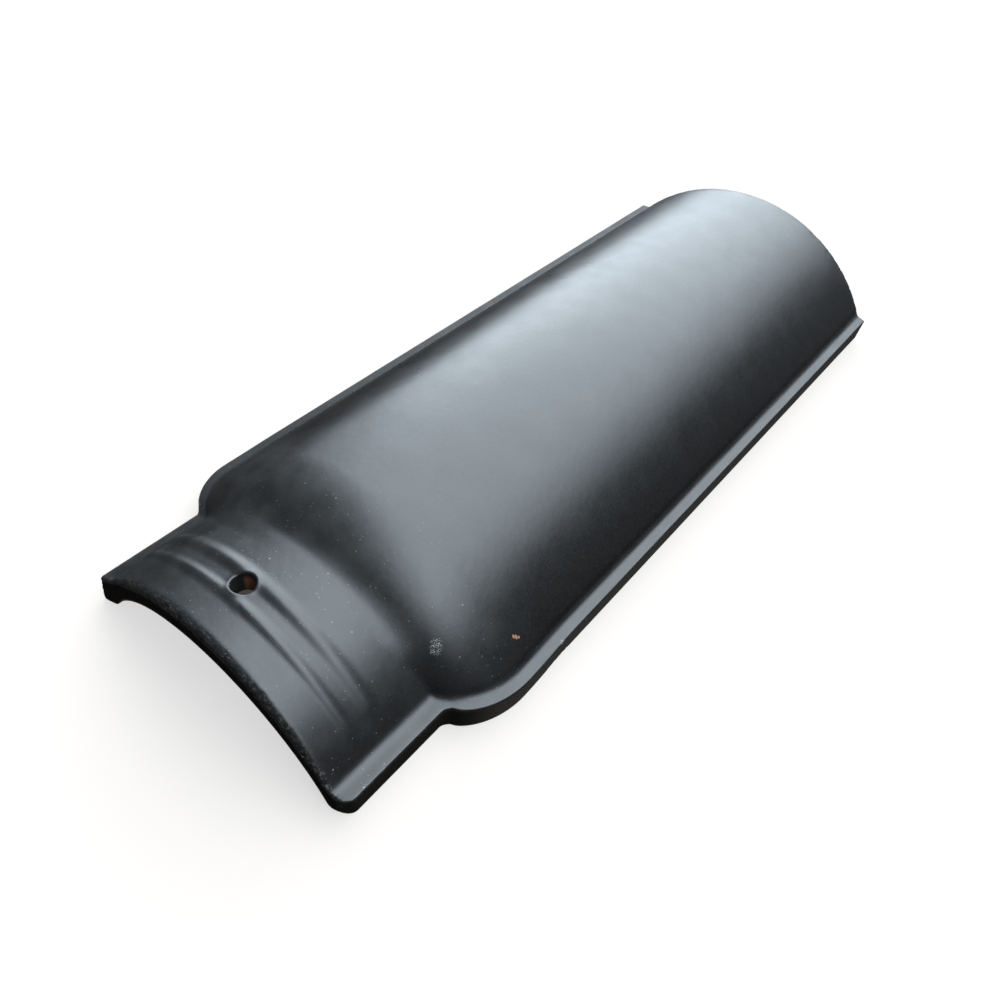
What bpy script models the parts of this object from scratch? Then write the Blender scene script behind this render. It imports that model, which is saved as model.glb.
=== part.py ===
"""A black glazed clay ridge tile: a ribbed neck with a screw hole, a round shoulder and a long plain barrel.

Metres, +Z up. The tile lies on its two long feet at z = 0 and runs along Y, with the neck's end at -Y and the
barrel's open end at +Y. Its origin is below the middle of its box.
"""
import math

import bmesh
import bpy

# The whole tile.
LENGTH = 0.450
NECK_LENGTH = 0.0559

# The neck's cross section.
NECK_WIDTH = 0.1453
NECK_HEIGHT = 0.0493
NECK_WALL = 0.0112
NECK_FOOT_WIDTH = 0.0067

# A lip runs along both sides, from the crease at the arch's foot to the edge. The neck's right lip is flat, above a
# wide hollow, and its left one is narrower and falls outwards.
NECK_RIGHT_LIP_WIDTH = 0.0077
NECK_RIGHT_LIP_HEIGHT = 0.0150
NECK_RIGHT_LIP_FALL = 0.0
NECK_RIGHT_HOLLOW = 0.0030
NECK_LEFT_LIP_WIDTH = 0.0062
NECK_LEFT_LIP_HEIGHT = 0.0146
NECK_LEFT_LIP_FALL = 0.0026
NECK_LEFT_HOLLOW = 0.0012

# The barrel's cross section. Its lips lie a small step below the crease and fall outwards.
BARREL_WIDTH = 0.1773
BARREL_HEIGHT = 0.0577
BARREL_WALL = 0.0115
BARREL_FOOT_WIDTH = 0.0085
BARREL_LIP_WIDTH = 0.0070
BARREL_LIP_HEIGHT = 0.0146
BARREL_LIP_FALL = 0.0010
BARREL_HOLLOW = 0.0018
BARREL_STEP = 0.0021
STEP_LEAN = 0.4

# The shoulder rises from the neck's height to the barrel's with a soft start and a long round.
SHOULDER_LENGTH = 0.0328
SHOULDER_SOFTNESS = 0.0046
SHOULDER_FULLNESS = 0.87

# The shoulder's plan. The left lip turns out sooner than the right one, which swells past the barrel's width.
LEFT_LEAD = 0.0057
LEFT_LENGTH = 0.0255
LEFT_BULGE = -0.0003
RIGHT_LEAD = 0.0004
RIGHT_LENGTH = 0.0325
RIGHT_BULGE = 0.0008
BULGE_LENGTH = 0.0350
LIP_SOFTNESS = 0.0020
LIP_FULLNESS = 0.65

# Two low ribs round the neck: distance from the neck's end, half the width and height. They fade out from a
# share of the way down each side, and the wear of the arch's end from another.
RIBS = (
    (0.0185, 0.0034, 0.0008),
    (0.0300, 0.0046, 0.0009),
)
LEFT_RIB_FADE = 0.92
RIGHT_RIB_FADE = 0.80
WEAR_FADE = 0.72
RIB_STATIONS = (-1.0, -0.5, 0.0, 0.5, 1.0)

# The screw hole through the crown of the neck, a little left of the middle.
HOLE_DIAMETER = 0.0098
HOLE_FROM_END = 0.0251
HOLE_OFFSET = -0.0081

# Worn and rounded edges, and the corners of the neck's end in plan.
ARCH_END_ROUND = 0.0034
LIP_END_ROUND = 0.0012
BARREL_END_ROUND = 0.0006
LEFT_CORNER_ROUND = 0.0010
RIGHT_CORNER_ROUND = 0.0055
LIP_EDGE_ROUND = 0.0008
FOOT_OUTER_ROUND = 0.0010
FOOT_INNER_ROUND = 0.0010
LEFT_FOOT_END_ROUND = 0.0010
RIGHT_FOOT_END_ROUND = 0.0022

# The clay slumped a little at the neck's end: the left toe reaches past the arch, the right one falls short.
LEFT_TOE = 0.0020
RIGHT_TOE = -0.0024
TOE_WIDTH = 0.0100
TOE_HEIGHT = 0.0240
TOE_LENGTH = 0.0160

# Steps in the mesh.
CROWN_STEPS = 16
HOLLOW_STEPS = 3
LIP_STEPS = 2
INNER_STEPS = 14
ROUND_STEPS = 3
EDGE_STEPS = 2
HOLE_SIDES = 32
SHOULDER_STATION_SPACING = 0.0022
SHOULDER_STATION_GROWTH = 2.0
BARREL_STATIONS = 6

SHARP_ANGLE = math.radians(32.0)


def clear_scene():
    for item in list(bpy.data.objects):
        bpy.data.objects.remove(item, do_unlink=True)


def make_collection(name):
    collection = bpy.data.collections.new(name)
    bpy.context.scene.collection.children.link(collection)
    return collection


def glaze():
    material = bpy.data.materials.new("black glaze")
    material.use_nodes = True
    shader = material.node_tree.nodes["Principled BSDF"]
    shader.inputs["Base Color"].default_value = (0.020, 0.021, 0.024, 1.0)
    shader.inputs["Roughness"].default_value = 0.38
    shader.inputs["Metallic"].default_value = 0.0
    return material


def ease(share):
    """0 to 1 with level ends."""
    share = min(max(share, 0.0), 1.0)
    return share * share * (3.0 - 2.0 * share)


def fade(share, start):
    """0 up to the start, then 1 at a share of 1."""
    return ease((share - start) / (1.0 - start))


def mix(first, second, share):
    return first + (second - first) * share


def swell(along, start, length, softness, fullness):
    """How much of the shoulder is passed: a start softened both ways, then a long round that levels out."""
    past = along - start
    soft = min(max(past + softness, 0.0), 2 * softness) ** 2 / (4 * softness)
    left = max(1.0 - (soft + max(past - softness, 0.0)) / length, 0.0)
    return (1.0 - left ** 2) ** fullness


def lip_swell(side, along):
    """The same for one lip's plan, and the distance past its end."""
    start = NECK_LENGTH - (LEFT_LEAD if side < 0 else RIGHT_LEAD)
    length = LEFT_LENGTH if side < 0 else RIGHT_LENGTH
    return swell(along, start, length, LIP_SOFTNESS, LIP_FULLNESS), along - start - length


def rounding(radius, depth):
    """How far a rounded edge has fallen back at a depth from its face."""
    if depth >= radius:
        return 0.0
    return radius - math.sqrt(radius ** 2 - (radius - depth) ** 2)


def half_width(side, along):
    """From the middle to the lip's edge, before the corners are rounded."""
    share, past = lip_swell(side, along)
    bulge = LEFT_BULGE if side < 0 else RIGHT_BULGE
    return mix(NECK_WIDTH / 2, BARREL_WIDTH / 2 + bulge, share) - bulge * ease(past / BULGE_LENGTH)


def toe_shift(side, along, across, height):
    """How far along Y a point of the neck's foot lies from where a straight end would have it."""
    reach = LEFT_TOE if side < 0 else RIGHT_TOE
    outward = ease(1.0 - (NECK_WIDTH / 2 - across) / TOE_WIDTH)
    return -reach * outward * ease(1.0 - height / TOE_HEIGHT) * max(1.0 - along / TOE_LENGTH, 0.0)


def rib_height(along):
    total = 0.0
    for centre, reach, height in RIBS:
        total += height * ease(1.0 - abs(along - centre) / reach)
    return total


def bend(start, corner, end, steps):
    """A quadratic curve from start to end, drawn towards the corner."""
    points = []
    for k in range(steps + 1):
        t = k / steps
        a, b, c = (1 - t) ** 2, 2 * t * (1 - t), t ** 2
        points.append(tuple(a * p + b * q + c * r for p, q, r in zip(start, corner, end)))
    return points


def half_section(side, along):
    """One half of the cross section: outer points from crown to foot, and inner ones back to the top."""
    crown_share = swell(along, NECK_LENGTH, SHOULDER_LENGTH, SHOULDER_SOFTNESS, SHOULDER_FULLNESS)
    share, _ = lip_swell(side, along)
    rib_fade = LEFT_RIB_FADE if side < 0 else RIGHT_RIB_FADE
    far_worn = rounding(BARREL_END_ROUND, LENGTH - along)
    arch_worn = rounding(ARCH_END_ROUND, along) + far_worn
    lip_worn = rounding(LIP_END_ROUND, along) + far_worn
    lifted = rounding(LEFT_FOOT_END_ROUND if side < 0 else RIGHT_FOOT_END_ROUND, along) + far_worn

    full_edge = half_width(side, along)
    edge = full_edge - rounding(LEFT_CORNER_ROUND if side < 0 else RIGHT_CORNER_ROUND, along) - far_worn
    top = mix(NECK_HEIGHT, BARREL_HEIGHT, crown_share)
    lip_width = mix(NECK_LEFT_LIP_WIDTH if side < 0 else NECK_RIGHT_LIP_WIDTH, BARREL_LIP_WIDTH, share)
    lip_top = mix(NECK_LEFT_LIP_HEIGHT if side < 0 else NECK_RIGHT_LIP_HEIGHT, BARREL_LIP_HEIGHT, share)
    lip_fall = mix(NECK_LEFT_LIP_FALL if side < 0 else NECK_RIGHT_LIP_FALL, BARREL_LIP_FALL, share)
    hollow = mix(NECK_LEFT_HOLLOW if side < 0 else NECK_RIGHT_HOLLOW, BARREL_HOLLOW, share)
    step = mix(0.0, BARREL_STEP, share)
    wall = mix(NECK_WALL, BARREL_WALL, crown_share)
    foot_width = mix(NECK_FOOT_WIDTH, BARREL_FOOT_WIDTH, share)

    # The crown is an arc from the middle to the crease. The ribs fade out above the lip.
    crease_x = full_edge - lip_width
    rise = top - lip_top - lip_fall - step
    radius = (crease_x ** 2 + rise ** 2) / (2 * rise)
    last_angle = math.asin(crease_x / radius)
    hollow_angle = last_angle - hollow / radius
    outer = []
    for k in range(CROWN_STEPS + 1):
        angle = hollow_angle * k / CROWN_STEPS
        wear = mix(arch_worn, lip_worn, fade(k / CROWN_STEPS, WEAR_FADE))
        reach = radius - wear + mix(rib_height(along), 0.0, fade(k / CROWN_STEPS, rib_fade))
        outer.append((reach * math.sin(angle), top - radius + reach * math.cos(angle)))

    # A small hollow leads from the crown down to the lip, and the lip's edge is rounded over.
    def lip_point(x):
        return x, lip_top - lip_worn + lip_fall * (full_edge - x) / lip_width

    corner_x = crease_x + step * STEP_LEAN
    lip_end = (edge - LIP_EDGE_ROUND, lip_top - lip_worn)
    lip_start = lip_point(min(corner_x + hollow, lip_end[0] - LIP_EDGE_ROUND))
    outer += bend(outer[-1], lip_point(corner_x), lip_start, HOLLOW_STEPS)[1:]
    for k in range(1, LIP_STEPS + 1):
        outer.append(tuple(mix(p, q, k / LIP_STEPS) for p, q in zip(lip_start, lip_end)))
    outer += bend(lip_end, (edge, lip_end[1]), (edge, lip_end[1] - LIP_EDGE_ROUND), EDGE_STEPS)[1:]

    # The foot: a rounded outer edge, a flat strip on the ground and a small round inside.
    side_end = (edge, lifted + FOOT_OUTER_ROUND)
    outer += bend(side_end, (edge, lifted), (edge - FOOT_OUTER_ROUND, lifted), EDGE_STEPS)
    foot_x = full_edge - foot_width
    clear = top - wall
    inner_radius = (foot_x ** 2 + clear ** 2) / (2 * clear)
    inner_centre = clear - inner_radius
    start_z = lifted + FOOT_INNER_ROUND
    start_angle = math.acos((start_z - inner_centre) / inner_radius)
    outer.append((min(foot_x + FOOT_INNER_ROUND, edge - FOOT_OUTER_ROUND - FOOT_INNER_ROUND), lifted))

    inner = []
    for k in range(INNER_STEPS + 1):
        angle = start_angle * (1.0 - k / INNER_STEPS)
        inner.append((inner_radius * math.sin(angle), inner_centre + inner_radius * math.cos(angle)))
    return outer, inner


def ring(along):
    """The whole cross section: down the right side, in under the arch and up the left side to the crown."""
    right_outer, right_inner = half_section(1, along)
    left_outer, left_inner = half_section(-1, along)
    right = right_outer + right_inner
    left = left_outer[1:] + left_inner[:-1]
    y = along - (LENGTH - LEFT_TOE) / 2
    points = [(x - RIGHT_BULGE / 2, y + toe_shift(1, along, x, z), z) for x, z in right]
    points += [(-x - RIGHT_BULGE / 2, y + toe_shift(-1, along, x, z), z) for x, z in reversed(left)]
    return points


def stations():
    """Where the cross sections stand, as distances from the neck's end."""
    places = set()
    for k in range(ROUND_STEPS + 1):
        turn = math.pi / 2 * k / ROUND_STEPS
        places.add(ARCH_END_ROUND * (1.0 - math.cos(turn)))
        places.add(LENGTH - BARREL_END_ROUND * (1.0 - math.cos(turn)))
    places.add(RIGHT_CORNER_ROUND)
    places.add(TOE_LENGTH)
    for centre, reach, _ in RIBS:
        for share in RIB_STATIONS:
            places.add(centre + reach * share)
    first = NECK_LENGTH - LEFT_LEAD - LIP_SOFTNESS
    spacing = SHOULDER_STATION_SPACING
    place = first
    last = NECK_LENGTH - RIGHT_LEAD + RIGHT_LENGTH
    while place < last:
        places.add(place)
        place += spacing * (1.0 + SHOULDER_STATION_GROWTH * max(place - first, 0.0) / (last - first))
    for k in range(BARREL_STATIONS):
        places.add(last + BULGE_LENGTH * k / (BARREL_STATIONS - 1))
    return sorted(places)


def build_body():
    """The fired body, lofted through its cross sections."""
    mesh = bpy.data.meshes.new("ridge_tile")
    build = bmesh.new()
    rings = [[build.verts.new(point) for point in ring(along)] for along in stations()]
    for near, far in zip(rings, rings[1:]):
        for k in range(len(near)):
            after = (k + 1) % len(near)
            build.faces.new((near[k], near[after], far[after], far[k]))
    build.faces.new(rings[0])
    build.faces.new(rings[-1])
    bmesh.ops.recalc_face_normals(build, faces=build.faces)
    build.to_mesh(mesh)
    build.free()
    return bpy.data.objects.new("ridge_tile", mesh)


def build_hole_cutter():
    """An upright pin as wide as the screw hole."""
    mesh = bpy.data.meshes.new("screw_hole")
    build = bmesh.new()
    bmesh.ops.create_cone(
        build, cap_ends=True, segments=HOLE_SIDES, radius1=HOLE_DIAMETER / 2, radius2=HOLE_DIAMETER / 2,
        depth=2 * NECK_HEIGHT)
    build.to_mesh(mesh)
    build.free()
    cutter = bpy.data.objects.new("screw_hole", mesh)
    cutter.location = (HOLE_OFFSET - RIGHT_BULGE / 2, HOLE_FROM_END - (LENGTH - LEFT_TOE) / 2, NECK_HEIGHT)
    cutter.hide_render = True
    cutter.display_type = "WIRE"
    return cutter


def main():
    clear_scene()
    parts = make_collection("ridge tile")
    cutters = make_collection("cutters")

    tile = build_body()
    tile.data.materials.append(glaze())
    parts.objects.link(tile)
    cutter = build_hole_cutter()
    cutters.objects.link(cutter)

    hole = tile.modifiers.new("screw hole", "BOOLEAN")
    hole.operation = "DIFFERENCE"
    hole.solver = "EXACT"
    hole.object = cutter

    tile.data.shade_smooth()
    tile.data.set_sharp_from_angle(angle=SHARP_ANGLE)


main()
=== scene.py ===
"""The looks of a black glazed clay ridge tile that lies on a pale studio floor.

Metres, +Z up, in the part's own frame: the tile runs along Y, with its ribbed neck at -Y and its crown up.
"Along" is the distance from the neck's end, and "across" the distance from the middle of the crown.
"""
import math

import bmesh
import bpy
import numpy as np
from mathutils import Matrix, Vector, noise


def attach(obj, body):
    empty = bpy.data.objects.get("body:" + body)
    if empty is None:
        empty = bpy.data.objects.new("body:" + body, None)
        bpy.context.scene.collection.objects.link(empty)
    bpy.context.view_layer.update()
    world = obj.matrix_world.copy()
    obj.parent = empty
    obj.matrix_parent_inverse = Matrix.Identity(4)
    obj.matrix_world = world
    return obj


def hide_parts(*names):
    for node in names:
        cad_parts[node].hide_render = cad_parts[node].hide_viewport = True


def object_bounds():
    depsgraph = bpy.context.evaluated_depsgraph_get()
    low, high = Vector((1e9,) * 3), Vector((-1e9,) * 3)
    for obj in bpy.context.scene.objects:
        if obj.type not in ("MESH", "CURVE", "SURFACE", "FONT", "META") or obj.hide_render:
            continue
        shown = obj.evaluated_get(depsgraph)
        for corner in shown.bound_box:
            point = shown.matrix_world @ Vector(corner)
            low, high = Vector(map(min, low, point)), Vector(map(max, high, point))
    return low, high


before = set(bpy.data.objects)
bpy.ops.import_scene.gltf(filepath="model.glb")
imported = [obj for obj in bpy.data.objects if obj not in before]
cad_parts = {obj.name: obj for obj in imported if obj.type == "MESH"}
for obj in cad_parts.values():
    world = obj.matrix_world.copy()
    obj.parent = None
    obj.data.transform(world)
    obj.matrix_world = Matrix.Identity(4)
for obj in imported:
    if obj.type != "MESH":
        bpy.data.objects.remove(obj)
CAD_LOW, CAD_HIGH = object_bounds()

# The view of the photograph.
CAMERA_PLACE = (0.15484, -0.29980, 0.32054)
CAMERA_AZIMUTH = 30.729
CAMERA_ELEVATION = 48.807
CAMERA_ROLL = 11.659
CAMERA_LENS = 30.083
SENSOR_WIDTH = 36.0

# The tile's sizes, as its solid has them, but for a softer start of the shoulder's flank.
# A lip lies below the crease at the arch's foot by its fall and its step.
LENGTH = 0.450
NECK_LENGTH = 0.0559
SHOULDER_LENGTH = 0.0328
SHOULDER_SOFTNESS = 0.0046
SHOULDER_FULLNESS = 0.87
NECK = {"width": 0.1453, "height": 0.0493, "wall": 0.0112, "foot_width": 0.0067}
NECK_RIGHT_LIP = {"lip_width": 0.0077, "lip_height": 0.0150, "lip_fall": 0.0, "hollow": 0.0030, "step": 0.0}
NECK_LEFT_LIP = {"lip_width": 0.0062, "lip_height": 0.0146, "lip_fall": 0.0026, "hollow": 0.0012,
                 "step": 0.0}
BARREL = {"width": 0.1773, "height": 0.0577, "wall": 0.0115, "foot_width": 0.0085, "lip_width": 0.0070,
          "lip_height": 0.0146, "lip_fall": 0.0010, "hollow": 0.0018, "step": 0.0021}
STEP_LEAN = 0.4
LEFT_LEAD = 0.0057
LEFT_LENGTH = 0.0255
LEFT_BULGE = -0.0003
RIGHT_LEAD = 0.0004
RIGHT_LENGTH = 0.0325
RIGHT_BULGE = 0.0008
BULGE_LENGTH = 0.0350
LIP_SOFTNESS = 0.0020
LIP_FULLNESS = 0.65
FLANK_SOFTNESS = 0.0075
FLANK_FADE = 0.60
NECK_END_Y = CAD_HIGH.y - LENGTH
MIDDLE_X = -RIGHT_BULGE / 2

# Two low ribs round the neck: distance from its end, half the width and height.
# They fade out from a share of the way down each side, and the wear of the arch's end from another.
RIBS = ((0.0185, 0.0034, 0.0008), (0.0300, 0.0046, 0.0009))
LEFT_RIB_FADE = 0.92
RIGHT_RIB_FADE = 0.80
WEAR_FADE = 0.72

# The screw hole, with a rim of clay that was pushed up round it.
HOLE_RADIUS = 0.0049
HOLE_ALONG = 0.0251
HOLE_ACROSS = -0.0081
HOLE_RIM_REACH = 0.0064
HOLE_RIM_CREST = 0.0058
HOLE_RIM_WIDTH = 0.0008
HOLE_RIM_RISE = 0.0003
HOLE_UNDER_REACH = 0.0054
HOLE_EDGE_FALL = 0.0007

# The bore's wall is bare clay on the side of this turn from +X, from a ring below its rim.
BORE_CLAY_TURN = math.radians(62.0)
BORE_CLAY_FROM = 0.10
BORE_CLAY_SOFT = 0.25
BORE_CLAY_RING = 5
BORE_CLAY_RINGS = 3

# Worn edges and slumped toes at the neck's end.
ARCH_END_ROUND = 0.0034
LIP_END_ROUND = 0.0012
BARREL_END_ROUND = 0.0006
LEFT_CORNER_ROUND = 0.0010
RIGHT_CORNER_ROUND = 0.0055
LIP_EDGE_ROUND = 0.0008
FOOT_OUTER_ROUND = 0.0010
FOOT_INNER_ROUND = 0.0010
LEFT_FOOT_END_ROUND = 0.0010
RIGHT_FOOT_END_ROUND = 0.0022
LEFT_TOE = 0.0020
RIGHT_TOE = -0.0024
TOE_WIDTH = 0.0100
TOE_HEIGHT = 0.0240
TOE_LENGTH = 0.0160

# Small relief: soft dents of the outer skin, and chips along both ends.
DENT_DEPTH = 0.00022
DENT_SIZE = 0.021
CHIP_DEPTH = 0.0011
CHIP_SIZE = 0.0022
CHIP_STRETCH = (1.0, 0.35, 1.0)
CHIP_REACH = 0.0030
CHIP_START = 0.08
CHIP_MOST = 0.6
FAR_CHIP_SHARE = 0.3

# Worn edges: how far in from the ends they lie, how wide they are, and how strong on the lips.
ARRIS_PLACE = 0.0012
ARRIS_WIDTH = 0.0014
ARRIS_LIP_SHARE = 0.6
LIP_TOP_FROM = 0.0125

# The nick and the chipped stretch on the right lip. A scallop is its distance along and its depth.
NICK_ALONG = 0.0562
NICK_WIDTH = 0.0010
NICK_DEPTH = 0.0009
SCALLOPS = ((0.1062, 0.0008), (0.1093, 0.0011), (0.1126, 0.0009), (0.1155, 0.0012), (0.1188, 0.0008))
SCALLOP_WIDTH = 0.0014

# Grid steps across: half the crown, then hollow, lip, lip edge, side, foot edge, foot and inner edge.
CROWN_STEPS = 74
LOWER_STEPS = (5, 4, 4, 10, 3, 4, 2)
GLAZED_LOWER = sum(LOWER_STEPS[:3])
HALF_STEPS = CROWN_STEPS + sum(LOWER_STEPS)
WALL_STEPS = 8
ARRIS_STEPS = 6

# Steps along: a fine neck and shoulder, then a longer barrel.
SHOULDER_FROM = 0.048
BARREL_FROM = 0.125
NECK_STATIONS = 45
SHOULDER_STATIONS = 64
BARREL_STATIONS = 78

# The grid opens round the hole in a square of this many steps each way from its middle.
# Below it, the rim and the bore have their own rings.
HOLE_STEPS = 6
RIM_STEPS = 4
BORE_STEPS = 12

SHARP_ANGLE = math.radians(40.0)

# Colours of the glaze, its haze and dust, the bare sides and the red clay.
GLAZE_DARK = (0.0012, 0.0012, 0.0014, 1.0)
GLAZE_LIGHT = (0.0240, 0.0205, 0.0175, 1.0)
HAZE = (0.014, 0.014, 0.014, 1.0)
NECK_SIDE = (0.003, 0.0026, 0.0022, 1.0)
BARREL_SIDE = (0.050, 0.043, 0.038, 1.0)
SIDE_GRAIN = (0.020, 0.015, 0.011, 1.0)
DUST = (0.30, 0.29, 0.27, 1.0)
WORN = (0.26, 0.24, 0.21, 1.0)
CHIP_CLAY = (0.24, 0.12, 0.08, 1.0)
RAW_DARK = (0.13, 0.048, 0.028, 1.0)
RAW_LIGHT = (0.27, 0.11, 0.065, 1.0)
ROUGHNESS = 0.30
ROUGHNESS_SPREAD = 0.03
HAZE_ROUGHNESS = 0.10
DULL_ROUGHNESS = 0.20
DULL_SHARE = 0.75
BARE_ROUGHNESS = 0.8
GLAZE_SPECULAR = 0.5
BARE_SPECULAR = 0.1
LUMP_HEIGHT = 0.00005
GRAIN_HEIGHT = 0.000016
SPECK_SHARE = 0.45
BARREL_SPECKS = 0.12
WORN_SHARE = 0.22

# The noises: size of the lumps in metres, detail and roughness.
FINE = (0.0005, 3.0, 0.7)
CLOUDS = (0.014, 4.0, 0.6)
STREAKS = (0.0016, 3.0, 0.6)
WEAR = (0.0011, 3.0, 0.7)
RAGGED = (0.0007, 2.0)
LUMPS = (0.0035, 2.0)
STREAK_STRETCH = (1.0, 0.06, 1.0)

# The values of a noise between which a look comes in, and what it is at both, if not 0 and 1.
HAZE_CLOUDS = (0.3, 0.7, 0.5, 1.0)
LIP_STREAKS = (0.35, 0.65, 0.25, 1.0)
GLAZE_MIX = (0.45, 0.8)
SIDE_MIX = (0.35, 0.75)
RAW_MIX = (0.3, 0.7)
WORN_MIX = (0.50, 0.68)
DUST_MIX = (0.50, 0.60, 0.0, 0.9)
RAGGED_MIX = (0.25, 0.75, -0.35, 0.35)
MOTTLED = (0.25, 0.75, ROUGHNESS - ROUGHNESS_SPREAD, ROUGHNESS + ROUGHNESS_SPREAD)

# Where they lie, in the part's own frame, in metres. Specks are a cell's size and a largest radius.
NECK_HAZE_END = (-0.150, -0.110)
HAZE_ACROSS = (-0.08, 0.05)
HAZE_RIGHT = 0.45
LIP_HAZE_TOP = (0.0152, 0.0180)
DULL_LIP_END = -0.0745
SIDE_CHANGE = (-0.168, -0.150)
SPECKS_FINE = (0.0017, 0.00024)
SPECKS_LARGE = (0.0055, 0.00042)
SPECK_EDGE = 0.3
MARK_EDGE = 0.7

# Marks as x, y and radius, seen from above: where the dust has settled, and chips down to the clay.
DUST_MARKS = (
    (0.0571, -0.1607, 0.0027),
    (0.0884, -0.1118, 0.0013),
)
CLAY_MARKS = (
    (0.0743, -0.1314, 0.0007),
    (0.0750, -0.1304, 0.0008),
    (0.0757, -0.1293, 0.0006),
)


def ease(share):
    """0 to 1 with level ends."""
    share = np.clip(share, 0.0, 1.0)
    return share * share * (3.0 - 2.0 * share)


def fade(share, start):
    """0 up to the start on either side of the crown, then 1 at the hollow."""
    return ease((np.abs(share) - start) / (1.0 - start))


def mix(first, second, share):
    return first + (second - first) * share


def pair(x, z):
    return np.stack(np.broadcast_arrays(x, z), axis=-1)


def swell(along, start, length, softness, fullness):
    """How much of the shoulder is passed: a start softened both ways, then a long round that levels out."""
    past = along - start
    soft = np.clip(past + softness, 0.0, 2 * softness) ** 2 / (4 * softness)
    left = np.clip(1.0 - (soft + np.maximum(past - softness, 0.0)) / length, 0.0, 1.0)
    return (1.0 - left ** 2) ** fullness


def rounding(radius, depth):
    """How far a rounded edge has fallen back at a depth from its face."""
    inside = np.clip(radius - depth, 0.0, radius)
    return radius - np.sqrt(radius ** 2 - inside ** 2)


def bell(distance, width):
    return np.exp(-(distance / width) ** 2)


class Section:
    """The sizes of the cross section at some distances along. side is -1 on the left and 1 on the right."""

    def __init__(self, side, along, softness=LIP_SOFTNESS):
        left = side < 0
        start = NECK_LENGTH - np.where(left, LEFT_LEAD, RIGHT_LEAD)
        length = np.where(left, LEFT_LENGTH, RIGHT_LENGTH)
        bulge = np.where(left, LEFT_BULGE, RIGHT_BULGE)
        out = swell(along, start, length, softness, LIP_FULLNESS)
        up = swell(along, NECK_LENGTH, SHOULDER_LENGTH, SHOULDER_SOFTNESS, SHOULDER_FULLNESS)
        far_worn = rounding(BARREL_END_ROUND, LENGTH - along)
        corner = np.where(left, LEFT_CORNER_ROUND, RIGHT_CORNER_ROUND)
        foot_end = np.where(left, LEFT_FOOT_END_ROUND, RIGHT_FOOT_END_ROUND)
        nick = np.where(left, 0.0, NICK_DEPTH * bell(along - NICK_ALONG, NICK_WIDTH))

        self.full_edge = mix(NECK["width"] / 2, BARREL["width"] / 2 + bulge, out)
        self.full_edge = self.full_edge - bulge * ease((along - start - length) / BULGE_LENGTH)
        self.edge = self.full_edge - rounding(corner, along) - far_worn - nick
        self.arch_worn = rounding(ARCH_END_ROUND, along) + far_worn
        self.lip_worn = rounding(LIP_END_ROUND, along) + far_worn
        self.lifted = rounding(foot_end, along) + far_worn

        lip = {name: mix(np.where(left, NECK_LEFT_LIP[name], value), BARREL[name], out)
               for name, value in NECK_RIGHT_LIP.items()}
        self.lip_width = lip["lip_width"]
        self.lip_top = lip["lip_height"]
        self.lip_fall = lip["lip_fall"]
        self.hollow = lip["hollow"]
        self.foot_x = self.full_edge - mix(NECK["foot_width"], BARREL["foot_width"], out)
        self.top = mix(NECK["height"], BARREL["height"], up)

        crease_x = self.full_edge - self.lip_width
        self.corner_x = crease_x + lip["step"] * STEP_LEAN
        rise = self.top - self.lip_top - self.lip_fall - lip["step"]
        self.radius = (crease_x ** 2 + rise ** 2) / (2 * rise)
        self.crown_angle = np.arcsin(crease_x / self.radius) - self.hollow / self.radius

        clear = self.top - mix(NECK["wall"], BARREL["wall"], up)
        self.inner_radius = (self.foot_x ** 2 + clear ** 2) / (2 * clear)
        self.inner_centre = clear - self.inner_radius
        start_z = self.lifted + FOOT_INNER_ROUND
        self.inner_angle = np.arccos((start_z - self.inner_centre) / self.inner_radius)

    def lip_point(self, x):
        """A point on the lip's surface."""
        return pair(x, self.lip_top - self.lip_worn + self.lip_fall * (self.full_edge - x) / self.lip_width)


def rib_height(along):
    return sum(height * ease(1.0 - np.abs(along - centre) / reach) for centre, reach, height in RIBS)


def crown_points(share, along):
    """Points of the outer arch. share is -1 in the left hollow, 0 on the crown and 1 in the right one."""
    section = Section(share, along, mix(FLANK_SOFTNESS, LIP_SOFTNESS, fade(share, FLANK_FADE)))
    wear = mix(section.arch_worn, section.lip_worn, fade(share, WEAR_FADE))
    ribs = rib_height(along) * (1.0 - fade(share, np.where(share < 0, LEFT_RIB_FADE, RIGHT_RIB_FADE)))
    reach = section.radius - wear + ribs
    angle = section.crown_angle * share
    height = section.top - section.radius + reach * np.cos(angle)
    return np.stack([reach * np.sin(angle), along, height], axis=-1)


def inner_points(share, along):
    """Points of the inner arch. share is -1 and 1 at the feet and 0 below the crown line."""
    section = Section(share, along)
    angle = section.inner_angle * share
    height = section.inner_centre + section.inner_radius * np.cos(angle)
    return np.stack([section.inner_radius * np.sin(angle), along, height], axis=-1)


def straight(start, end, steps):
    """Points from start to end for each station, without the first one."""
    t = (np.arange(1, steps + 1) / steps)[:, None]
    return mix(start[:, None], end[:, None], t)


def bend(start, corner, end, steps):
    """Points of a quadratic curve for each station, without the first one."""
    t = (np.arange(1, steps + 1) / steps)[:, None]
    return mix(mix(start[:, None], corner[:, None], t), mix(corner[:, None], end[:, None], t), t)


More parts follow.
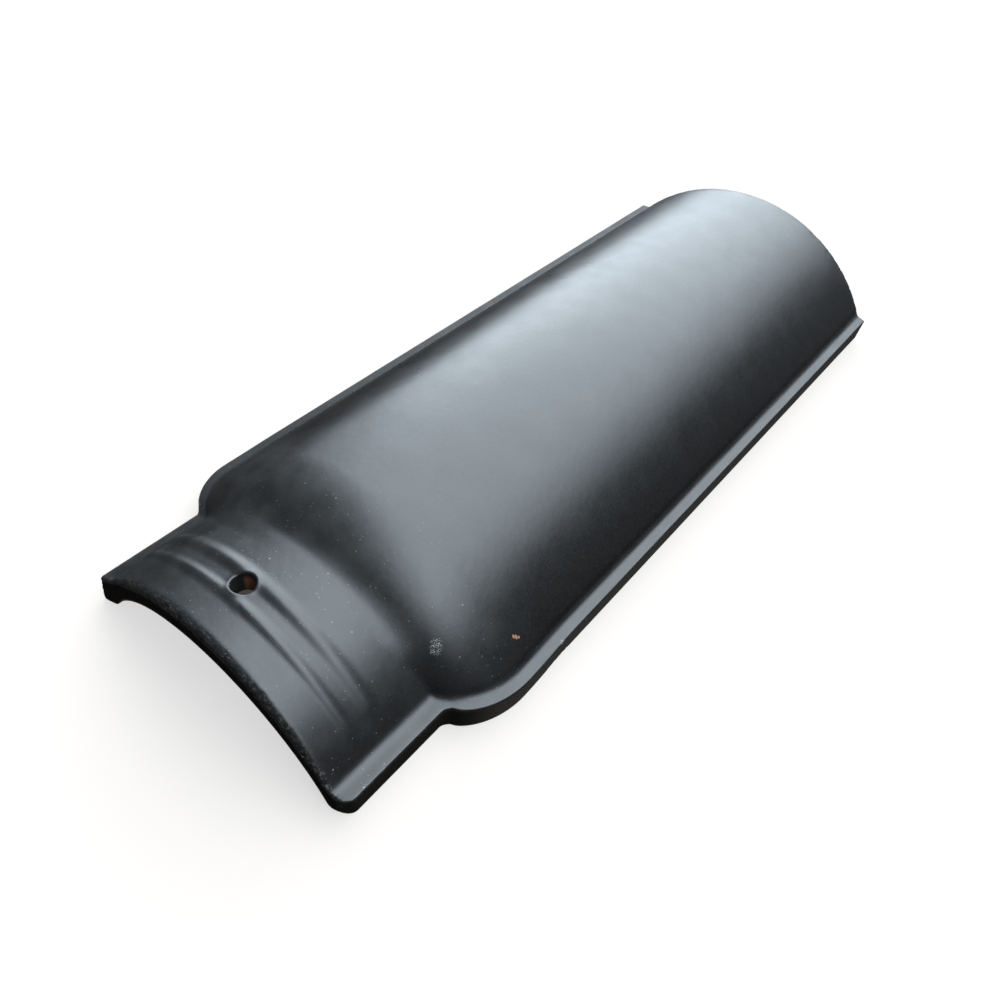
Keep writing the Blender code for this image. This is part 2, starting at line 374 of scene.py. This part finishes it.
def lower_points(side, along):
    """From the crown's last point out over the lip, down the side and in under the foot, on one side."""
    s = Section(side, along)
    crown_end = crown_points(side * np.ones_like(along), along)[:, [0, 2]] * (side, 1)
    lip_end = pair(s.edge - LIP_EDGE_ROUND, s.lip_top - s.lip_worn)
    lip_start = s.lip_point(np.minimum(s.corner_x + s.hollow, lip_end[:, 0] - LIP_EDGE_ROUND))
    lip_corner = pair(s.edge, lip_end[:, 1])
    side_start = pair(s.edge, lip_end[:, 1] - LIP_EDGE_ROUND)
    chipped = sum(depth * bell(along - place, SCALLOP_WIDTH) for place, depth in SCALLOPS) * (side > 0)
    side_end = pair(s.edge, s.lifted + FOOT_OUTER_ROUND + chipped)
    foot_corner = pair(s.edge - chipped / 2, s.lifted + chipped / 2)
    foot_start = pair(s.edge - FOOT_OUTER_ROUND - chipped, s.lifted)
    foot_end_x = np.minimum(s.foot_x + FOOT_INNER_ROUND, s.edge - FOOT_OUTER_ROUND - FOOT_INNER_ROUND)
    foot_end = pair(foot_end_x, s.lifted)
    inner_start = inner_points(side * np.ones_like(along), along)[:, [0, 2]] * (side, 1)

    hollow, lip, lip_edge, flank, foot_edge, foot, inner_edge = LOWER_STEPS
    profile = np.concatenate([
        bend(crown_end, s.lip_point(s.corner_x), lip_start, hollow),
        straight(lip_start, lip_end, lip),
        bend(lip_end, lip_corner, side_start, lip_edge),
        straight(side_start, side_end, flank),
        bend(side_end, foot_corner, foot_start, foot_edge),
        straight(foot_start, foot_end, foot),
        bend(foot_end, pair(s.foot_x, s.lifted), inner_start, inner_edge),
    ], axis=1)
    rows = np.broadcast_to(along[:, None], profile.shape[:2])
    return np.stack([side * profile[..., 0], rows, profile[..., 1]], axis=-1)


def noise_at(points, size, offset=0.0):
    """Smooth noise, about -1 to 1, with lumps of this size at every point of an array."""
    flat = (points / size + offset).reshape(-1, 3)
    values = [noise.noise(Vector(place)) for place in flat.tolist()]
    return np.array(values).reshape(points.shape[:-1])


def dents(points):
    """The skin sinks a little here and there, but not at the feet."""
    depth = DENT_DEPTH * (0.5 - 0.5 * noise_at(points, DENT_SIZE))
    points[..., 2] -= depth * ease(points[..., 2] / BARREL["lip_height"])


def end_chips(points):
    """Chips out of the worn edges of both ends."""
    along = points[..., 1]
    from_end = np.minimum(along, LENGTH - along)
    near = ease(1.0 - from_end / CHIP_REACH)
    rough = noise_at(points * CHIP_STRETCH, CHIP_SIZE, 7.0) + 0.5 * noise_at(points, CHIP_SIZE / 2, 3.0)
    above_feet = ease(points[..., 2] / BARREL["lip_height"])
    depth = CHIP_DEPTH * near * np.clip(rough - CHIP_START, 0.0, CHIP_MOST) * above_feet
    depth = depth * np.where(along < LENGTH / 2, 1.0, FAR_CHIP_SHARE)
    points[..., 1] += np.where(along < LENGTH / 2, depth, -depth)
    points[..., 2] -= depth


def toe_shift(points):
    """The clay slumped at the neck's end: the left toe reaches past the arch, the right one falls short."""
    across, along, height = np.moveaxis(points, -1, 0)
    reach = np.where(across < 0, LEFT_TOE, RIGHT_TOE)
    outward = ease(1.0 - (NECK["width"] / 2 - np.abs(across)) / TOE_WIDTH)
    shift = -reach * outward * ease(1.0 - height / TOE_HEIGHT) * np.maximum(1.0 - along / TOE_LENGTH, 0.0)
    return np.stack([across, along + shift, height], axis=-1)


def stations():
    """Where the cross sections stand along the tile."""
    arris = 1.0 - np.cos(np.linspace(0.0, math.pi / 2, ARRIS_STEPS + 1))
    places = np.concatenate([
        ARCH_END_ROUND * arris,
        np.linspace(ARCH_END_ROUND, SHOULDER_FROM, NECK_STATIONS),
        np.linspace(SHOULDER_FROM, BARREL_FROM, SHOULDER_STATIONS),
        np.linspace(BARREL_FROM, LENGTH - BARREL_END_ROUND, BARREL_STATIONS),
        LENGTH - BARREL_END_ROUND * arris[::-1],
    ])
    return np.unique(places.round(7))


def open_round_hole(share, along, radius, reach):
    """Draws the grid's lines aside, so that the square of steps round the hole becomes a circle.

    reach is the circle's radius. radius is the arch's radius times its angle at share 1, so that share
    times radius is a length. It gives the new share and along, and the first row and column of the square.
    """
    middle_share = HOLE_ACROSS / radius
    row = int(np.abs(along[:, 0] - HOLE_ALONG).argmin())
    column = int(np.abs(share[0] - middle_share).argmin())
    rows, columns = np.indices(share.shape)
    down = (rows - row) / HOLE_STEPS
    over = (columns - column) / HOLE_STEPS
    ring = np.maximum(np.abs(down), np.abs(over))
    safe = np.maximum(ring, 1e-9)
    turn = np.arctan2(np.tan(down / safe * math.pi / 4), np.tan(over / safe * math.pi / 4))
    held = 1.0 - ease(ring - 1.0)
    x = (share - middle_share) * radius
    y = along - HOLE_ALONG
    x = mix(x, reach * ring * np.cos(turn), held)
    y = mix(y, reach * ring * np.sin(turn), held)
    return middle_share + x / radius, HOLE_ALONG + y, row - HOLE_STEPS, column - HOLE_STEPS


def neck_reach(radius_name, angle_name):
    section = Section(np.array(-1.0), np.array(HOLE_ALONG))
    return float(getattr(section, radius_name) * getattr(section, angle_name))


def outer_skin(along):
    """The outer skin as a grid of points, from the left foot over the crown to the right one."""
    share, rows = np.meshgrid(np.linspace(-1.0, 1.0, 2 * CROWN_STEPS + 1), along)
    reach = neck_reach("radius", "crown_angle")
    share, rows, first_row, first_column = open_round_hole(share, rows, reach, HOLE_RIM_REACH)
    crown = crown_points(share, rows)
    from_hole = np.hypot(crown[..., 0] - HOLE_ACROSS, crown[..., 1] - HOLE_ALONG)
    crown[..., 2] += HOLE_RIM_RISE * bell(from_hole - HOLE_RIM_CREST, HOLE_RIM_WIDTH)
    left = lower_points(-1, along)[:, ::-1]
    right = lower_points(1, along)
    points = np.concatenate([left, crown, right], axis=1)
    dents(points)
    end_chips(points)
    return toe_shift(points), first_row, first_column + left.shape[1]


def inner_skin(along):
    """The inner skin as a grid of as many points."""
    share, rows = np.meshgrid(np.linspace(-1.0, 1.0, 2 * HALF_STEPS + 1), along)
    reach = neck_reach("inner_radius", "inner_angle")
    share, rows, first_row, first_column = open_round_hole(share, rows, reach, HOLE_UNDER_REACH)
    return toe_shift(inner_points(share, rows)), first_row, first_column


def quads(ids, hole=None):
    """The faces of a grid, as rows of four indices, without the square of the hole."""
    faces = np.stack([ids[:-1, :-1], ids[:-1, 1:], ids[1:, 1:], ids[1:, :-1]], axis=-1)
    keep = np.ones(faces.shape[:2], dtype=bool)
    if hole:
        row, column = hole
        keep[row:row + 2 * HOLE_STEPS, column:column + 2 * HOLE_STEPS] = False
    return faces[keep]


def hole_loop(ids, hole):
    """The indices round the hole's square, in turn."""
    row, column = hole
    side = 2 * HOLE_STEPS
    window = ids[row:row + side + 1, column:column + side + 1]
    return np.concatenate([window[0, :-1], window[:-1, -1], window[-1, :0:-1], window[:0:-1, 0]])


MASKS = ("edge_clay", "inside", "arris")


class Shell:
    """Gathers the points, the faces and the masks of the tile's mesh."""

    def __init__(self):
        self.points = []
        self.masks = []
        self.faces = []
        self.count = 0

    def add(self, points, edge, inside, arris=0.0):
        """Adds points and gives their indices.

        edge and inside are 1 where the clay isn't glazed, and arris is 1 at worn edges.
        """
        flat = points.reshape(-1, 3)
        ids = np.arange(self.count, self.count + len(flat)).reshape(points.shape[:-1])
        self.points.append(flat)
        masks = [np.broadcast_to(mask, points.shape[:-1]) for mask in (edge, inside, arris)]
        self.masks.append(np.stack(masks, axis=-1).reshape(-1, len(MASKS)))
        self.count += len(flat)
        return ids

    def loft(self, ids, hole=None):
        self.faces.append(quads(ids, hole))


def edge_mask(columns):
    """1 on the sides and feet of the outer skin, and 0 on its glazed top."""
    bare = sum(LOWER_STEPS) - GLAZED_LOWER
    mask = np.zeros(columns)
    mask[:bare] = 1.0
    mask[-bare:] = 1.0
    return mask


def arris_mask(points):
    """1 on the worn edges of the ends, and less on the lips' outer edges."""
    across, along, height = np.abs(points[..., 0]), points[..., 1], points[..., 2]
    from_end = np.minimum(along, LENGTH - along)
    ends = bell(from_end - ARRIS_PLACE, ARRIS_WIDTH)
    lip_edge = bell(Section(points[..., 0], along).edge - across, ARRIS_WIDTH / 2) * (height > LIP_TOP_FROM)
    return np.maximum(ends, ARRIS_LIP_SHARE * lip_edge)


def add_end(shell, outer_ids, inner_ids, outer, inner):
    """Closes one end with a face that runs across the wall."""
    rows = np.arange(1, WALL_STEPS)[:, None, None] / WALL_STEPS
    between = mix(outer[None, 1:-1], inner[None, 1:-1], rows)
    ids = shell.add(between, 1.0, 0.0)
    strip = np.concatenate([outer_ids[None, 1:-1], ids, inner_ids[None, 1:-1]])
    shell.loft(strip)
    for corner, column in ((outer_ids[0], strip[:, 0]), (outer_ids[-1], strip[:, -1])):
        fan = [(corner, a, b, b) for a, b in zip(column[:-1], column[1:])]
        shell.faces.append(np.array(fan))


def add_bore(shell, outer_loop, inner_loop, outer, inner):
    """The wall of the screw hole, with a rounded and slightly raised rim."""
    middle = np.array([HOLE_ACROSS, HOLE_ALONG])
    away = outer[:, :2] - middle
    away /= np.linalg.norm(away, axis=1)[:, None]
    base = outer[:, 2] - HOLE_RIM_RISE * bell(HOLE_RIM_REACH - HOLE_RIM_CREST, HOLE_RIM_WIDTH)
    rim = [(HOLE_RIM_CREST, HOLE_RIM_RISE)]
    for k in range(1, RIM_STEPS + 1):
        turn = math.pi / 2 * k / RIM_STEPS
        radius = mix(HOLE_RIM_CREST, HOLE_RADIUS, math.sin(turn))
        rim.append((radius, HOLE_RIM_RISE - (HOLE_RIM_RISE + HOLE_EDGE_FALL) * (1.0 - math.cos(turn))))
    rings = [np.column_stack([middle + away * radius, base + rise]) for radius, rise in rim]
    top = rings[-1]
    under = np.column_stack([middle + away * HOLE_RADIUS, inner[:, 2] + HOLE_EDGE_FALL])
    for k in range(1, BORE_STEPS + 1):
        rings.append(mix(top, under, k / BORE_STEPS))
    rings = np.array(rings)
    turned = (away @ (math.cos(BORE_CLAY_TURN), math.sin(BORE_CLAY_TURN)) - BORE_CLAY_FROM) / BORE_CLAY_SOFT
    bare = ease((np.arange(len(rings))[:, None] - BORE_CLAY_RING) / BORE_CLAY_RINGS) * ease(turned)
    ids = shell.add(rings, 0.0, bare)
    strip = np.concatenate([outer_loop[None], ids, inner_loop[None]])
    shell.loft(np.concatenate([strip, strip[:, :1]], axis=1))


def build_shell():
    """The whole skin of the tile, closed, in its own frame."""
    along = stations()
    outer, *outer_hole = outer_skin(along)
    inner, *inner_hole = inner_skin(along)
    shell = Shell()
    outer_ids = shell.add(outer, edge_mask(outer.shape[1]), 0.0, arris_mask(outer))
    inner_ids = shell.add(inner, 0.0, 1.0)
    inner_ids[:, 0] = outer_ids[:, 0]
    inner_ids[:, -1] = outer_ids[:, -1]
    shell.loft(outer_ids, outer_hole)
    shell.loft(inner_ids, inner_hole)
    add_end(shell, outer_ids[0], inner_ids[0], outer[0], inner[0])
    add_end(shell, outer_ids[-1], inner_ids[-1], outer[-1], inner[-1])
    outer_loop = hole_loop(outer_ids, outer_hole)
    inner_loop = hole_loop(inner_ids, inner_hole)
    points = np.concatenate(shell.points)
    add_bore(shell, outer_loop, inner_loop, points[outer_loop], points[inner_loop])
    return shell


def build_tile():
    """The tile's mesh, with the masks that its material reads."""
    shell = build_shell()
    points = np.concatenate(shell.points) + (MIDDLE_X, NECK_END_Y, 0.0)
    points = np.clip(points, CAD_LOW, CAD_HIGH)
    masks = np.concatenate(shell.masks)
    faces = np.concatenate(shell.faces)
    mesh = bpy.data.meshes.new("tile")
    mesh.from_pydata(points.tolist(), [], [list(dict.fromkeys(face)) for face in faces.tolist()])
    for k, name in enumerate(MASKS):
        layer = mesh.attributes.new(name, "FLOAT", "POINT")
        layer.data.foreach_set("value", masks[:, k].astype(np.float32))
    build = bmesh.new()
    build.from_mesh(mesh)
    loose = [vertex for vertex in build.verts if not vertex.link_faces]
    bmesh.ops.delete(build, geom=loose, context="VERTS")
    bmesh.ops.recalc_face_normals(build, faces=build.faces)
    build.to_mesh(mesh)
    build.free()
    mesh.shade_smooth()
    mesh.set_sharp_from_angle(angle=SHARP_ANGLE)
    tile = bpy.data.objects.new("tile", mesh)
    bpy.context.scene.collection.objects.link(tile)
    return tile


def connect(tree, socket, value):
    if isinstance(value, bpy.types.NodeSocket):
        tree.links.new(value, socket)
    else:
        socket.default_value = value


def add_node(tree, kind, inputs=None, **settings):
    node = tree.nodes.new(kind)
    for name, value in settings.items():
        setattr(node, name, value)
    for name, value in (inputs or {}).items():
        connect(tree, node.inputs[name], value)
    return node


def calc(tree, operation, *values):
    """A Math node's result."""
    node = add_node(tree, "ShaderNodeMath", dict(enumerate(values)), operation=operation)
    return node.outputs[0]


def remap(tree, value, low, high, to_low=0.0, to_high=1.0):
    """value from low to high becomes to_low to to_high, with level ends."""
    inputs = {"Value": value, "From Min": low, "From Max": high, "To Min": to_low, "To Max": to_high}
    return add_node(tree, "ShaderNodeMapRange", inputs, interpolation_type="SMOOTHSTEP").outputs["Result"]


def grain(tree, place, size, detail=2.0, rough=0.5):
    """Noise from 0 to 1 with lumps of this size in metres."""
    inputs = {"Vector": place, "Scale": 1.0 / size, "Detail": detail, "Roughness": rough}
    return add_node(tree, "ShaderNodeTexNoise", inputs).outputs["Fac"]


def blend(tree, share, first, second):
    """A colour between two."""
    node = add_node(tree, "ShaderNodeMix", data_type="RGBA")
    connect(tree, node.inputs[0], share)
    connect(tree, node.inputs[6], first)
    connect(tree, node.inputs[7], second)
    return node.outputs[2]


def new_material(name):
    material = bpy.data.materials.new(name)
    material.use_nodes = True
    tree = material.node_tree
    return material, tree, tree.nodes["Principled BSDF"]


def stretched(tree, place, scale):
    """Coordinates drawn out along the axes with a small scale."""
    node = add_node(tree, "ShaderNodeVectorMath", operation="MULTIPLY")
    connect(tree, node.inputs[0], place)
    connect(tree, node.inputs[1], scale)
    return node.outputs[0]


def specks(tree, place, cell, radius):
    """1 in small spots, about as far apart as the cell's size in metres."""
    node = add_node(tree, "ShaderNodeTexVoronoi", {"Vector": place, "Scale": 1.0 / cell})
    near = calc(tree, "MULTIPLY", node.outputs["Distance"], cell)
    shade = add_node(tree, "ShaderNodeSeparateColor", {"Color": node.outputs["Color"]}).outputs[0]
    limit = calc(tree, "MULTIPLY", shade, radius)
    return remap(tree, calc(tree, "SUBTRACT", limit, near), 0.0, radius * SPECK_EDGE)


def spots(tree, place, marks, ragged):
    """1 at the marks, which are each an x, a y and a radius as seen from above."""
    flat = stretched(tree, place, (1.0, 1.0, 0.0))
    most = 0.0
    for x, y, radius in marks:
        node = add_node(tree, "ShaderNodeVectorMath", operation="DISTANCE")
        connect(tree, node.inputs[0], flat)
        connect(tree, node.inputs[1], (x, y, 0.0))
        share = calc(tree, "DIVIDE", node.outputs["Value"], radius)
        share = calc(tree, "ADD", share, ragged)
        most = calc(tree, "MAXIMUM", most, remap(tree, share, 1.0, MARK_EDGE))
    return most


def glaze_material():
    """Satin black glaze on red clay, with a haze of dust, white specks and worn edges."""
    material, tree, shader = new_material("black_glaze")
    place = add_node(tree, "ShaderNodeTexCoord").outputs["Object"]
    across, along, height = add_node(tree, "ShaderNodeSeparateXYZ", {"Vector": place}).outputs
    edge, inside, arris = [add_node(tree, "ShaderNodeAttribute", attribute_name=name).outputs["Fac"]
                           for name in MASKS]
    fine = grain(tree, place, *FINE)
    cloudy = grain(tree, place, *CLOUDS)
    streaky = grain(tree, stretched(tree, place, STREAK_STRETCH), *STREAKS)
    on_neck = remap(tree, along, NECK_HAZE_END[1], NECK_HAZE_END[0])
    on_lip = remap(tree, height, LIP_HAZE_TOP[1], LIP_HAZE_TOP[0])

    # A haze of dust on the neck and in streaks along the right lip; the neck is made lighter towards its
    # left.
    haze = calc(tree, "MULTIPLY", on_neck, remap(tree, cloudy, *HAZE_CLOUDS))
    leftward = remap(tree, across, HAZE_ACROSS[1], HAZE_ACROSS[0], HAZE_RIGHT, 1.0)
    haze = calc(tree, "MULTIPLY", haze, leftward)
    lip_haze = calc(tree, "MULTIPLY", on_lip, remap(tree, streaky, *LIP_STREAKS))
    lip_haze = calc(tree, "MULTIPLY", lip_haze, calc(tree, "GREATER_THAN", across, 0.0))
    haze = calc(tree, "MAXIMUM", haze, lip_haze)
    colour = blend(tree, remap(tree, fine, *GLAZE_MIX), GLAZE_DARK, GLAZE_LIGHT)
    colour = blend(tree, haze, colour, HAZE)

    # The sides without glaze, which are darker on the neck.
    barrel_side = remap(tree, along, SIDE_CHANGE[0], SIDE_CHANGE[1])
    side = blend(tree, barrel_side, NECK_SIDE, BARREL_SIDE)
    side = blend(tree, remap(tree, fine, *SIDE_MIX), side, SIDE_GRAIN)
    colour = blend(tree, edge, colour, side)

    # Specks, worn edges, marks of dust and clay, and the bare inside.
    ragged = remap(tree, grain(tree, place, *RAGGED), *RAGGED_MIX)
    ragged.node.interpolation_type = "LINEAR"
    glazed = calc(tree, "SUBTRACT", 1.0, calc(tree, "MAXIMUM", inside, edge))
    speckled = calc(tree, "MULTIPLY", glazed, remap(tree, on_neck, 0.0, 1.0, BARREL_SPECKS, 1.0))
    white = calc(tree, "MAXIMUM", specks(tree, place, *SPECKS_FINE), specks(tree, place, *SPECKS_LARGE))
    white = calc(tree, "MULTIPLY", white, speckled)
    worn = calc(tree, "MULTIPLY", arris, remap(tree, grain(tree, place, *WEAR), *WORN_MIX))
    colour = blend(tree, calc(tree, "MULTIPLY", white, SPECK_SHARE), colour, DUST)
    colour = blend(tree, calc(tree, "MULTIPLY", worn, WORN_SHARE), colour, WORN)
    dusty = calc(tree, "MULTIPLY", spots(tree, place, DUST_MARKS, ragged), glazed)
    dusty = calc(tree, "MULTIPLY", dusty, remap(tree, fine, *DUST_MIX))
    colour = blend(tree, dusty, colour, DUST)
    chipped = calc(tree, "MULTIPLY", spots(tree, place, CLAY_MARKS, ragged), glazed)
    colour = blend(tree, chipped, colour, CHIP_CLAY)
    raw = blend(tree, remap(tree, fine, *RAW_MIX), RAW_DARK, RAW_LIGHT)
    colour = blend(tree, inside, colour, raw)

    # How rough it is, how much it mirrors, and its fine relief.
    bare = calc(tree, "MAXIMUM", calc(tree, "MAXIMUM", inside, edge), calc(tree, "MAXIMUM", chipped, dusty))
    mottled = remap(tree, cloudy, *MOTTLED)
    mottled = calc(tree, "ADD", mottled, calc(tree, "MULTIPLY", haze, HAZE_ROUGHNESS))
    rough = calc(tree, "ADD", calc(tree, "MULTIPLY", mottled, calc(tree, "SUBTRACT", 1.0, bare)),
                 calc(tree, "MULTIPLY", bare, BARE_ROUGHNESS))
    dull = calc(tree, "MULTIPLY", on_lip, calc(tree, "LESS_THAN", across, DULL_LIP_END))
    rough = calc(tree, "ADD", rough, calc(tree, "MULTIPLY", dull, DULL_ROUGHNESS))
    dulled = calc(tree, "MAXIMUM", bare, calc(tree, "MULTIPLY", dull, DULL_SHARE))
    level = remap(tree, dulled, 0.0, 1.0, GLAZE_SPECULAR, BARE_SPECULAR)
    lumps = calc(tree, "ADD", calc(tree, "MULTIPLY", grain(tree, place, *LUMPS), LUMP_HEIGHT),
                 calc(tree, "MULTIPLY", fine, GRAIN_HEIGHT))
    bump = add_node(tree, "ShaderNodeBump", {"Strength": 1.0, "Distance": 1.0, "Height": lumps})
    connect(tree, shader.inputs["Base Color"], colour)
    connect(tree, shader.inputs["Roughness"], rough)
    connect(tree, shader.inputs["Specular IOR Level"], level)
    connect(tree, shader.inputs["Normal"], bump.outputs["Normal"])
    return material


# The studio's light: a bright soft ceiling that reaches down behind the tile on the left, and dim walls
# elsewhere. A wall is the direction away from it, how far it reaches up and how soft its edge is.
LIGHT_STRENGTH = 6.8
LIGHT_COLOUR = (0.88, 1.0, 1.09, 1.0)
WALL_STRENGTH = 0.18
WALL_COLOUR = (0.88, 1.0, 1.12, 1.0)
FRONT_WALL = ((0.460, 0.885, 0.070), 0.075, 0.20)
RIGHT_WALL = ((-0.547, -0.236, 0.803), 0.125, 0.29)
BACKDROP_STRENGTH = 1.0
WHITE = (1.0, 1.0, 1.0, 1.0)
BLACK = (0.0, 0.0, 0.0, 1.0)

# The floor looks white, but is dark to everything that mirrors it. Under the hole it has a small round
# patch of painted shade, dark to the camera too, which the camera sees only through the hole.
FLOOR_SIZE = 30.0
FLOOR_COLOUR = (0.186, 0.160, 0.143, 1.0)
FLOOR_GLOW = 0.64
FLOOR_DARK_GLOW = 0.05
HOLE_SHADE = (-0.033, -0.184, 0.0)
HOLE_SHADE_RADIUS = 0.016


def build_world():
    world = bpy.data.worlds.new("studio")
    bpy.context.scene.world = world
    world.use_nodes = True
    tree = world.node_tree
    tree.nodes.clear()
    direction = add_node(tree, "ShaderNodeTexCoord").outputs["Generated"]

    def open_side(normal, reach, softness):
        node = add_node(tree, "ShaderNodeVectorMath", operation="DOT_PRODUCT")
        connect(tree, node.inputs[0], direction)
        connect(tree, node.inputs[1], normal)
        return remap(tree, node.outputs["Value"], reach - softness, reach + softness)

    lit = calc(tree, "MULTIPLY", open_side(*FRONT_WALL), open_side(*RIGHT_WALL))
    strength = remap(tree, lit, 0.0, 1.0, WALL_STRENGTH, LIGHT_STRENGTH)
    strength.node.interpolation_type = "LINEAR"
    colour = blend(tree, lit, WALL_COLOUR, LIGHT_COLOUR)
    studio = add_node(tree, "ShaderNodeBackground", {"Color": colour, "Strength": strength})
    backdrop = add_node(tree, "ShaderNodeBackground", {"Color": WHITE, "Strength": BACKDROP_STRENGTH})
    to_camera = add_node(tree, "ShaderNodeLightPath").outputs["Is Camera Ray"]
    both = add_node(tree, "ShaderNodeMixShader",
                    {0: to_camera, 1: studio.outputs[0], 2: backdrop.outputs[0]})
    add_node(tree, "ShaderNodeOutputWorld", {"Surface": both.outputs[0]})


def build_floor():
    mesh = bpy.data.meshes.new("floor")
    build = bmesh.new()
    bmesh.ops.create_grid(build, x_segments=1, y_segments=1, size=FLOOR_SIZE / 2)
    build.to_mesh(mesh)
    build.free()
    floor = bpy.data.objects.new("floor", mesh)
    bpy.context.scene.collection.objects.link(floor)
    material, tree, shader = new_material("floor")
    to_camera = add_node(tree, "ShaderNodeLightPath").outputs["Is Camera Ray"]
    seen = blend(tree, to_camera, BLACK, FLOOR_COLOUR)
    # Painted shade: in a small round patch under the hole the floor hardly glows, even to the camera.
    node = add_node(tree, "ShaderNodeVectorMath", operation="DISTANCE")
    connect(tree, node.inputs[0], add_node(tree, "ShaderNodeTexCoord").outputs["Object"])
    connect(tree, node.inputs[1], HOLE_SHADE)
    past_shade = calc(tree, "GREATER_THAN", node.outputs["Value"], HOLE_SHADE_RADIUS)
    open_floor = calc(tree, "MULTIPLY", to_camera, past_shade)
    connect(tree, shader.inputs["Base Color"], seen)
    connect(tree, shader.inputs["Roughness"], 1.0)
    connect(tree, shader.inputs["Specular IOR Level"], 0.0)
    connect(tree, shader.inputs["Emission Color"], WHITE)
    glow = remap(tree, open_floor, 0.0, 1.0, FLOOR_DARK_GLOW, FLOOR_GLOW)
    connect(tree, shader.inputs["Emission Strength"], glow)
    mesh.materials.append(material)


def build_camera():
    """The photograph's view, turned about its own axis by the roll."""
    azimuth, elevation, roll = (math.radians(a) for a in (CAMERA_AZIMUTH, CAMERA_ELEVATION, CAMERA_ROLL))
    back = Vector((math.sin(azimuth) * math.cos(elevation), -math.cos(azimuth) * math.cos(elevation),
                   math.sin(elevation)))
    right = Vector((math.cos(azimuth), math.sin(azimuth), 0.0))
    up = back.cross(right)
    axes = Matrix((right, up, back)).transposed() @ Matrix.Rotation(roll, 3, "Z")
    data = bpy.data.cameras.new("camera")
    data.lens = CAMERA_LENS
    data.sensor_width = SENSOR_WIDTH
    data.clip_start = 0.01
    camera = bpy.data.objects.new("camera", data)
    camera.matrix_world = Matrix.Translation(CAMERA_PLACE) @ axes.to_4x4()
    bpy.context.scene.collection.objects.link(camera)
    bpy.context.scene.camera = camera


def main():
    bpy.context.scene.view_settings.view_transform = "Standard"
    build_camera()
    build_world()
    build_floor()
    tile = build_tile()
    tile.data.materials.append(glaze_material())
    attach(tile, "root")
    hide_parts("ridge_tile")


main()
